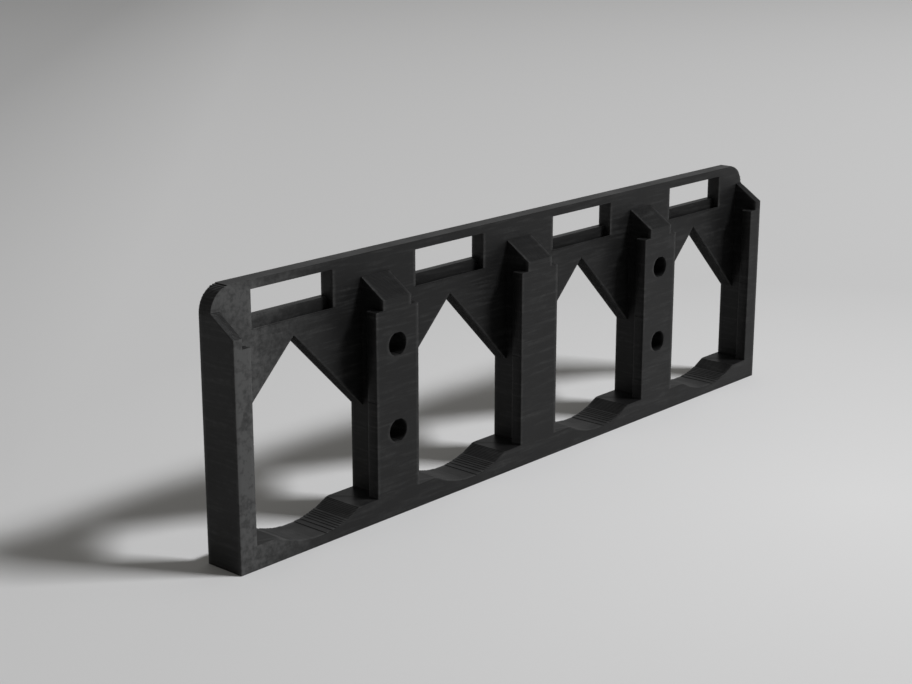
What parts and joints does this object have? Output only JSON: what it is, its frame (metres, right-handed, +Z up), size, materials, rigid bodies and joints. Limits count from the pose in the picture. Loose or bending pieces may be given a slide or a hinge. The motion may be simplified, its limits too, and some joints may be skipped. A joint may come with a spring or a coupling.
{
  "type": "tool battery holder",
  "caption": "Wall holder with a row of slide-in bays for cordless tool batteries, with latch slots, gable shaped windows and plain screw holes, printed in one piece.",
  "frame": {"origin": "middle of the footprint of the bottom rail, on the surface that the holder stands on", "axes": "+Z up, +X along the row of bays, +Y towards the wall that the holder is screwed to, so the bays open towards -Y and +Z"},
  "size_m": [0.1934, 0.0104, 0.06],
  "materials": {
    "printed_plastic": "black printed filament, satin to matte, with fine layer lines"
  },
  "bodies": {
    "root": {"holder": "printed_plastic"}
  },
  "joints": []
}
